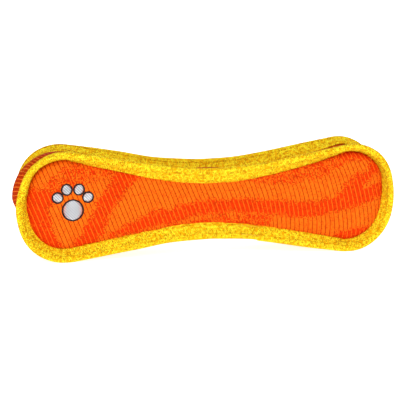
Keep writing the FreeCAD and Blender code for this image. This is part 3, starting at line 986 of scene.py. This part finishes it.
# %% Stamp a bead many times
def make_bead():
    """A sphere of 24 faces with its poles on X."""
    bm = bmesh.new()
    bmesh.ops.create_uvsphere(bm, u_segments=4, v_segments=6, radius=1,
                              matrix=Matrix.Rotation(pi / 2, 4, "Y"))
    mesh = bpy.data.meshes.new("bead")
    bm.to_mesh(mesh)
    bm.free()
    return mesh


BEAD = make_bead()


def stamp(bm, matrix):
    """Adds a bead, placed and stretched by the matrix."""
    copy = BEAD.copy()
    copy.transform(matrix)
    bm.from_mesh(copy)
    bpy.data.meshes.remove(copy)


def lay(place, ahead, out, size):
    """A matrix that puts +X ahead, +Z out, scaled by size."""
    ahead = ahead.normalized()
    out = (out - ahead * out.dot(ahead)).normalized()
    turn = Matrix((ahead, out.cross(ahead), out)).transposed().to_4x4()
    return Matrix.Translation(place) @ turn @ Matrix.Diagonal((*size, 1))

# %% Stitch rows
STITCH_PITCH, STITCH_LENGTH, THREAD_RADIUS = 3.2 * MM, 2.7 * MM, 0.34 * MM
NUDGE = 0.2 * MM


def make_stitch_row(name, down, faces, draw, radius):
    """Stitches down the lip; faces holds +1 for the outer arm, -1 for the inner, 0 inside."""
    bm = bmesh.new()
    count = round(2 * HALF_PATH / STITCH_PITCH)
    for number in range(count):
        gone = (number + 0.5) * 2 * HALF_PATH / count
        side, along = (1, gone) if gone < HALF_PATH else (-1, 2 * HALF_PATH - gone)
        along = min(max(along, NUDGE), HALF_PATH - NUDGE)
        for face in faces:
            off = face * FOLD_RADIUS
            if face:
                off += face * (webbing_relief(side * along, down, off) + 0.25 * radius)
            here = on_lip(along, side, down, off, draw)
            ahead = on_lip(along + NUDGE, side, down, off, draw) - here
            out = on_lip(along, side, down, off + NUDGE, draw) - here
            stamp(bm, lay(here, ahead, out, (STITCH_LENGTH / 2, radius * 1.2, radius)))
    return finish_mesh(bm, name)


stitch_rows = {}
for row, down, faces, radius in (("crest", CREST_ROW, (1, -1), THREAD_RADIUS),
                                 ("base", BASE_ROW, (1, -1), THREAD_RADIUS),
                                 ("seam", SEAM_ROW, (0,), 0.6 * THREAD_RADIUS)):
    stitch_rows["front", row] = make_stitch_row(f"front_{row}_thread", down, faces, corner_draw,
                                                radius)
    blank = make_stitch_row(f"back_{row}_blank", down, faces, rear_draw, radius)
    stitch_rows["back", row] = turned_round(blank, f"back_{row}_thread")
    bpy.data.objects.remove(blank)

# %% [markdown]
# ## Finish: sewing thread
# Thread is two or three plies twisted together, shiny along the top. A slanted wave across the
# thread gives the twist, in the bump and in the colour: painted shade between the plies.

# %% Thread finishes
def make_thread(name, colour, dark, pitch=0.5, roughness=0.45):
    thread = Finish(name, roughness, {"Specular IOR Level": 0.3})
    where = thread.place()
    x, y, z = thread.split(where)
    # The dark colour is painted shade in the twist's grooves, varied at random by the tint.
    twist = thread.wave((x + z + 0.3 * y) / pitch)
    tint = thread.cloud(where, 400.0, 1.0)
    return thread.finish(thread.mix(0.65 * twist + 0.35 * tint, dark, colour), twist, 0.08 * MM)


yellow_thread = make_thread("thread_yellow", dye(250, 212, 44), dye(205, 150, 10))
plain_thread = make_thread("thread_undyed", dye(232, 228, 214), dye(190, 182, 160))
# Silver's wide light and dark stripes are painted highlights and painted shade on the satin.
silver_thread = make_thread("thread_silver", dye(246, 246, 248), dye(158, 161, 167), 2.2, 0.3)
black_thread = make_thread("thread_black", dye(38, 36, 38), dye(8, 8, 9), 0.42, 0.4)

for (face, row), piece in stitch_rows.items():
    kind = (plain_thread, "seam_thread") if row == "seam" else (yellow_thread, "binding_thread")
    dress(piece, *kind, f"{face}_{row}_stitch")

# %% [markdown]
# ## The embroidered paw
# Satin stitch lays threads side by side across each pad, over a little padding, and a black border
# of short threads hides their ends. Every thread is stamped, as the stitches were, and rests on the
# face, which a ray finds.

# %% Embroidered paw
fill_low, fill_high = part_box("paw_fill")
PAW_RIM = fill_low.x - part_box("paw_outline")[0].x
TOE_RADIUS, HEEL_RADIUS = 3.6 * MM, 7.6 * MM
PAW_X = (fill_low.x + fill_high.x) / 2
HEEL_Z = fill_low.z + HEEL_RADIUS
PAW_Z = HEEL_Z + 3.8 * MM
TOE_CIRCLE = 13.2 * MM
TOE_TURNS = (28, 69, 111, 152)
SATIN = 0.5 * MM


OUT = Vector((0, -1, 0))
face_mesh = opened(front_face)
face_tree = BVHTree.FromBMesh(face_mesh)
face_mesh.free()
pads = [(PAW_X, HEEL_Z, HEEL_RADIUS, 0.0)]
pads += [(PAW_X + TOE_CIRCLE * cos(radians(t)), PAW_Z + TOE_CIRCLE * sin(radians(t)), TOE_RADIUS,
          radians(t) - pi / 2) for t in TOE_TURNS]


def on_front(across, up):
    """The point of the front face where a ray from in front of it lands."""
    return face_tree.ray_cast(Vector((across, -1, up)), -OUT)[0]


def make_pads(name):
    """Rows of silver threads across the heel and the four toes."""
    bm = bmesh.new()
    for x, z, radius, turn in pads:
        across = Vector((cos(turn), 0, sin(turn)))
        along = Vector((-sin(turn), 0, cos(turn)))
        count = int(2 * radius / SATIN)
        for number in range(count):
            place = -radius + (number + 0.5) * 2 * radius / count
            half = sqrt(radius ** 2 - place ** 2)
            swell = 0.55 * MM * (half / radius)
            here = Vector((x, 0, z)) + along * place
            here.y = on_front(here.x, here.z).y - 0.1 * MM
            stamp(bm, lay(here, across, OUT, (half, 0.62 * SATIN, 0.25 * MM + swell)))
    return finish_mesh(bm, name)


def make_border(name):
    """Short black threads round each pad."""
    bm = bmesh.new()
    for x, z, radius, turn in pads:
        middle = radius + PAW_RIM / 2 - 0.1 * MM
        count = int(2 * pi * middle / SATIN)
        for number in range(count):
            angle = 2 * pi * number / count
            away = Vector((cos(angle), 0, sin(angle)))
            here = Vector((x, 0, z)) + away * middle
            here.y = on_front(here.x, here.z).y - 0.15 * MM
            size = (PAW_RIM / 2 + 0.25 * MM, 0.62 * SATIN, 0.42 * MM)
            stamp(bm, lay(here, away + 0.25 * Vector((-away.z, 0, away.x)), OUT, size))
    return finish_mesh(bm, name)


dress(make_pads("paw_satin"), silver_thread, "emblem_thread", "paw_fill")
dress(make_border("paw_border"), black_thread, "emblem_rim_thread", "paw_outline")

# %% [markdown]
# ## The stabiliser
# Behind embroidery lies a sheet of non-woven stabiliser, so that the cloth doesn't pucker. It is a
# fine grid laid just inside the face cloth, found by the same ray, and given its thickness last.

# %% Stabiliser
STABILISER_DEPTH, STABILISER_THICKNESS = 0.35 * MM, 0.25 * MM
sheet_low, sheet_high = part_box("emblem_backing")


def make_stabiliser(name):
    bm = bmesh.new()
    middle = (sheet_low + sheet_high) / 2
    size = sheet_high - sheet_low
    bmesh.ops.create_grid(bm, x_segments=24, y_segments=24, size=0.5,
                          matrix=Matrix.Rotation(pi / 2, 4, "X"))
    for vertex in bm.verts:
        x, z = middle.x + vertex.co.x * size.x, middle.z + vertex.co.z * size.z
        vertex.co = (x, on_front(x, z).y + STABILISER_DEPTH, z)
    bmesh.ops.recalc_face_normals(bm, faces=bm.faces)
    bmesh.ops.solidify(bm, geom=bm.faces[:], thickness=STABILISER_THICKNESS)
    bmesh.ops.recalc_face_normals(bm, faces=bm.faces)
    return finish_mesh(bm, name)


stabiliser = make_stabiliser("emblem_stabiliser_sheet")

# %% [markdown]
# ## Round pieces turned on a lathe
# The squeakers and their pouches are round, so each is a closed profile spun once round its own
# axis. The squeaker's wall is pleated like a bellows, which lets its face be pressed; the pouch is
# two rounds of cloth gathered over it and sewn at the rim.

# %% Lathe
AROUND = 64
squeaker_middles = {"left": Vector((SQUEAKER_X, 0, MIDDLE)),
                    "right": Vector((-SQUEAKER_X, 0, MIDDLE))}


def lathe(bm, middle, name):
    """Spins everything in bm once round the Y axis through middle."""
    bmesh.ops.spin(bm, geom=bm.verts[:] + bm.edges[:], cent=middle, axis=(0, 1, 0),
                   angle=2 * pi, steps=AROUND, use_merge=True)
    bmesh.ops.remove_doubles(bm, verts=bm.verts, dist=0.01 * MM)
    bmesh.ops.recalc_face_normals(bm, faces=bm.faces)
    return finish_mesh(bm, name)


def run_out(bm, chain, shift, steps):
    """Extends a profile in a straight run."""
    return carry(bm, chain, shift=tuple(value / steps for value in shift), steps=steps)


# %% Squeaker wall
wall_low, wall_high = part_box("left_squeaker_wall")
WALL_LENGTH, WALL_RADIUS = wall_high.y - wall_low.y, cap_high.x - SQUEAKER_X
WALL_BELLY = (wall_high.x - wall_low.x) / 2
WALL_THICKNESS, PLEATS, WALL_STEPS = 1.0 * MM, 3, 36


def make_bellows(middle, name):
    """The squeaker's pleated wall."""
    bm = bmesh.new()
    chain = [bm.verts.new((middle.x, wall_low.y, MIDDLE + WALL_RADIUS))]
    chain = run_out(bm, chain, (0, WALL_LENGTH, 0), WALL_STEPS)
    chain = run_out(bm, chain, (0, 0, -WALL_THICKNESS), 1)
    chain = run_out(bm, chain, (0, -WALL_LENGTH, 0), WALL_STEPS)
    run_out(bm, chain, (0, 0, WALL_THICKNESS), 1)
    bmesh.ops.remove_doubles(bm, verts=bm.verts, dist=0.01 * MM)
    for vertex in bm.verts:
        share = (vertex.co.y - wall_low.y) / WALL_LENGTH
        vertex.co.z += (WALL_BELLY - WALL_RADIUS) * (0.5 - 0.5 * cos(2 * pi * PLEATS * share))
    return lathe(bm, middle, name)


# %% Pouch
pouch_low, pouch_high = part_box("left_pouch_front")
POUCH_OUTSIDE = (pouch_high.x - pouch_low.x) / 2
POUCH_RADIUS, POUCH_DEPTH, POUCH_CLOTH = POUCH_OUTSIDE - 2.3 * MM, -pouch_low.y, 0.5 * MM
POUCH_STEPS, GATHERS, GATHER_DEPTH = 28, 22, 0.3 * MM


def pouch_depth_at(radius):
    """How far the pouch stands in front of its seam at this radius."""
    return POUCH_DEPTH * sqrt(max(1 - (radius / POUCH_RADIUS) ** 8, 0))


def make_pouch(middle, name):
    """One round of the pouch, gathered at its rim."""
    bm = bmesh.new()
    start = bm.verts.new((middle.x, -POUCH_CLOTH, MIDDLE))
    chain = run_out(bm, [start], (0, 0, POUCH_OUTSIDE), POUCH_STEPS)
    chain = run_out(bm, chain, (0, POUCH_CLOTH, 0), 1)
    run_out(bm, chain, (0, 0, -POUCH_OUTSIDE), POUCH_STEPS)
    for vertex in bm.verts:
        vertex.co.y -= pouch_depth_at(vertex.co.z - MIDDLE) - 0.01 * MM
    for vertex in bm.verts:
        if abs(vertex.co.z - MIDDLE) < 0.01 * MM and vertex is not start:
            vertex.co.z = MIDDLE
    pouch = lathe(bm, middle, name)
    for vertex in pouch.data.vertices:
        away = vertex.co - middle
        radius, angle = hypot(away.x, away.z), atan2(away.z, away.x)
        share = smooth_step(0.72 * POUCH_RADIUS, POUCH_RADIUS, radius)
        fold = 0.5 + 0.5 * cos(GATHERS * angle + 2 * noise.noise(away * 90))
        vertex.co.y -= GATHER_DEPTH * share * fold
    return pouch


bellows = {side: make_bellows(middle, f"{side}_squeaker_bellows")
           for side, middle in squeaker_middles.items()}
pouches = {(side, "front"): make_pouch(middle, f"{side}_pouch_face")
           for side, middle in squeaker_middles.items()}
pouches["left", "back"] = turned_round(pouches["right", "front"], "left_pouch_rear")
pouches["right", "back"] = turned_round(pouches["left", "front"], "right_pouch_rear")

# %% [markdown]
# ## The wadding
# Carded fibre is pushed in by the handful through a gap in the seam, so its surface is a soft copy
# of the cover with low lumps. A copy of the design solid is remeshed evenly, pressed out by the
# same simulation, and roughened; the hollows for the squeakers are turned and set inside it.

# %% Wadding
VOXEL, WADDING_CAP, LUMP_HEIGHT = 4 * MM, 0.5 * MM, 0.8 * MM
HOLLOW_RADIUS, HOLLOW_DEPTH = 27.4 * MM, 11.9 * MM


def remeshed(node, name):
    """An even copy of a design solid, its loose triangles merged first."""
    bm = opened(bpy.data.objects[node])
    bmesh.ops.remove_doubles(bm, verts=bm.verts, dist=0.02 * MM)
    piece = finish_mesh(bm, name)
    apply_modifier(piece, "REMESH", {"mode": "VOXEL", "voxel_size": VOXEL})
    return piece


def make_hollow(middle, name):
    """The space for a squeaker, as a solid whose faces point outwards."""
    bm = bmesh.new()
    chain = [bm.verts.new((middle.x, -HOLLOW_DEPTH, MIDDLE))]
    chain = run_out(bm, chain, (0, 0, HOLLOW_RADIUS), 8)
    chain = run_out(bm, chain, (0, 2 * HOLLOW_DEPTH, 0), 8)
    run_out(bm, chain, (0, 0, -HOLLOW_RADIUS), 8)
    return lathe(bm, middle, name)


wadding = remeshed("fibre_filling", "fibre_wadding_mass")
inflate(wadding, WADDING_CAP)
subdivide(wadding, 1)
for vertex in wadding.data.vertices:
    lump = noise.noise(vertex.co * 90) + 0.5 * noise.noise(vertex.co * 260)
    vertex.co += vertex.normal * LUMP_HEIGHT * (lump - 0.6) / 2
wad = opened(wadding)
for side, middle in squeaker_middles.items():
    hollow = make_hollow(middle, f"{side}_hollow")
    hollow.data.flip_normals()
    wad.from_mesh(hollow.data)
    bpy.data.objects.remove(hollow)
wad.to_mesh(wadding.data)
wad.free()
print("wadding", len(wadding.data.polygons), "faces")

# %% [markdown]
# ## Finishes for the inside
# Lining and pouch are plain weaves, one yarn over and one under. The wadding and the stabiliser are
# loose fibres, which stretched noise in three directions suggests. The squeaker is soft moulded
# plastic, slightly cloudy; its reed is brass rolled lengthways.

# %% Inner finishes
def make_plain_weave(name, colour, gap, pitch):
    weave = Finish(name, 0.85, MATT)
    where = weave.place()
    x, y, z = weave.split(where)
    warp, weft = weave.wave((x + y) / pitch), weave.wave((z + y) / pitch)
    over = weave.maths("MAXIMUM", warp * (1 - weft), weft * (1 - warp))
    slub = weave.cloud(where, 300.0, 2.0)
    # The gap colour is painted shade between the yarns, varied by slubs.
    return weave.finish(weave.mix(0.7 * over + 0.5 * slub, gap, colour), over, 0.2 * MM)


def make_fibre(name, colour, shade, size):
    fibre = Finish(name, 0.95, MATT)
    where = fibre.place()
    x, y, z = fibre.split(where)
    strands = sum(fibre.cloud(fibre.vector(x * a, y * b, z * c), size, 3.0)
                  for a, b, c in ((4, 1, 0.4), (0.4, 1, 4), (1.6, 4, 1.6))) / 3
    share = fibre.step(strands, 0.38, 0.62)
    return fibre.finish(fibre.mix(share, shade, colour), share, 0.4 * MM)


def make_plastic(name, colour, cloudy, roughness):
    plastic = Finish(name, roughness)
    where = plastic.place()
    haze, grain = plastic.cloud(where, 60.0, 2.0), plastic.cloud(where, 900.0, 1.0)
    rough = roughness + 0.16 * (haze - 0.5) + 0.1 * (grain - 0.5)
    return plastic.finish(plastic.mix(haze, cloudy, colour), grain, 0.02 * MM, rough)


def make_brass(name, colour, dull):
    brass = Finish(name, 0.3, {"Metallic": 1.0})
    x, y, z = brass.split(brass.place())
    streaks = brass.cloud(brass.vector(x * 12, y * 0.5, z * 12), 1.0, 2.0)
    return brass.finish(brass.mix(streaks, dull, colour), streaks, 0.01 * MM, 0.22 + 0.25 * streaks)


# The second colour of each plain weave is its painted shade between the yarns.
lining_finish = make_plain_weave("lining_undyed", dye(232, 228, 214), dye(170, 164, 148), 0.6)
pouch_finish = make_plain_weave("pouch_grey", dye(212, 214, 216), dye(140, 142, 146), 0.8)
wadding_finish = make_fibre("wadding_white", dye(250, 250, 247), dye(206, 206, 202), 0.5)
sheet_finish = make_fibre("stabiliser_white", dye(244, 244, 240), dye(214, 214, 208), 1.4)
bulb_plastic = make_plastic("squeaker_natural", dye(236, 238, 234), dye(214, 217, 214), 0.42)
holder_plastic = make_plastic("holder_white", dye(242, 242, 236), dye(226, 226, 220), 0.3)
reed_brass = make_brass("reed_brass", dye(226, 190, 120), dye(186, 146, 76))

# %% Dress the inside
for piece, node in ((front_lining, "front_liner"), (back_lining, "back_liner"),
                    (side_lining, "gusset_liner")):
    dress(piece, lining_finish, "lining_cloth", node, COVER_FILL)
dress(wadding, wadding_finish, "fibre_wadding", "fibre_filling", COVER_FILL)
dress(stabiliser, sheet_finish, "emblem_stabiliser", "emblem_backing")
for (side, way), piece in pouches.items():
    dress(piece, pouch_finish, "pouch_cloth", f"{side}_pouch_{way}", POUCH_FILL)
for side, piece in bellows.items():
    dress(piece, bulb_plastic, "squeaker_plastic", f"{side}_squeaker_wall")
    for node, finish in (("squeaker_cap", bulb_plastic), ("squeaker_base", bulb_plastic),
                         ("reed_holder", holder_plastic), ("reed", reed_brass)):
        for slot in bpy.data.objects[f"{side}_{node}"].material_slots:
            slot.material = finish

# %% [markdown]
# ## The squeakers' own meshes
# When a squeaker is pressed, its face slides in by 8 mm and the pleats close up towards the base.
# The front of its pouch lies on that face, so it sinks with it. Here each bellows and pouch front
# only gets a mesh of its own.

# %% Own meshes for the bellows and pouch fronts
for side, middle in squeaker_middles.items():
    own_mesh(bellows[side])
    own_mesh(pouches[side, "front"])

# %% [markdown]
# ## Floor, light and camera
# A pale floor, a bright pale world, a broad high light and a weaker one from behind give the soft,
# even light of a small studio. The camera stands a little above and to the left, on a long lens.

# %% Floor and light
FLOOR_SIZE = 12.0
WHITE, PALE = (1, 1, 1, 1), (0.9, 0.9, 0.9, 1.0)


def make_floor():
    """A floor that glows a little, so that it stays pale out to the horizon."""
    bm = bmesh.new()
    bmesh.ops.create_grid(bm, x_segments=1, y_segments=1, size=FLOOR_SIZE)
    floor = finish_mesh(bm, "floor")
    paint = Finish("floor_paint", 0.9, {**MATT, "Emission Color": WHITE,
                                        "Emission Strength": 0.8})
    floor.data.materials.append(paint.finish(PALE))


def add_lamp(name, kind, place, settings):
    """A lamp aimed at the bumper."""
    lamp = bpy.data.lights.new(name, kind)
    set_all(lamp, settings)
    holder = add_object(name, lamp)
    holder.location = place
    aim = Vector((0, 0, MIDDLE)) - Vector(place)
    holder.rotation_euler = aim.to_track_quat("-Z", "Y").to_euler()


make_floor()
add_lamp("key_light", "SUN", (-0.4, -1.2, 1.15), {"energy": 2.02, "angle": radians(40)})
add_lamp("fill_light", "SUN", (0.6, 1.3, 0.9), {"energy": 1.0, "angle": radians(60)})
world = bpy.data.worlds.new("studio")
world.use_nodes = True
sky = world.node_tree.nodes["Background"].inputs
sky["Color"].default_value, sky["Strength"].default_value = WHITE, 0.5
bpy.context.scene.world = world
bpy.context.scene.view_settings.view_transform = "Standard"

# %% Camera
AZIMUTH, ELEVATION, ROLL = radians(-13.78), radians(12.41), radians(1.29)
DISTANCE = 1.0757
LENS = {"lens": 121.4, "sensor_width": 36, "shift_x": -0.013, "shift_y": -0.008}


def add_camera():
    """A camera at this distance from the bumper's middle."""
    lens = bpy.data.cameras.new("camera")
    set_all(lens, LENS)
    holder = add_object("camera", lens)
    back = Vector((sin(AZIMUTH) * cos(ELEVATION), -cos(AZIMUTH) * cos(ELEVATION),
                   sin(ELEVATION)))
    right = Vector((cos(AZIMUTH), sin(AZIMUTH), 0))
    turn = Matrix((right, back.cross(right), back)).transposed() @ Matrix.Rotation(ROLL, 3, "Z")
    holder.matrix_world = Matrix.Translation(
        Vector((0, 0, MIDDLE)) + back * DISTANCE) @ turn.to_4x4()
    bpy.context.scene.camera = holder


add_camera()
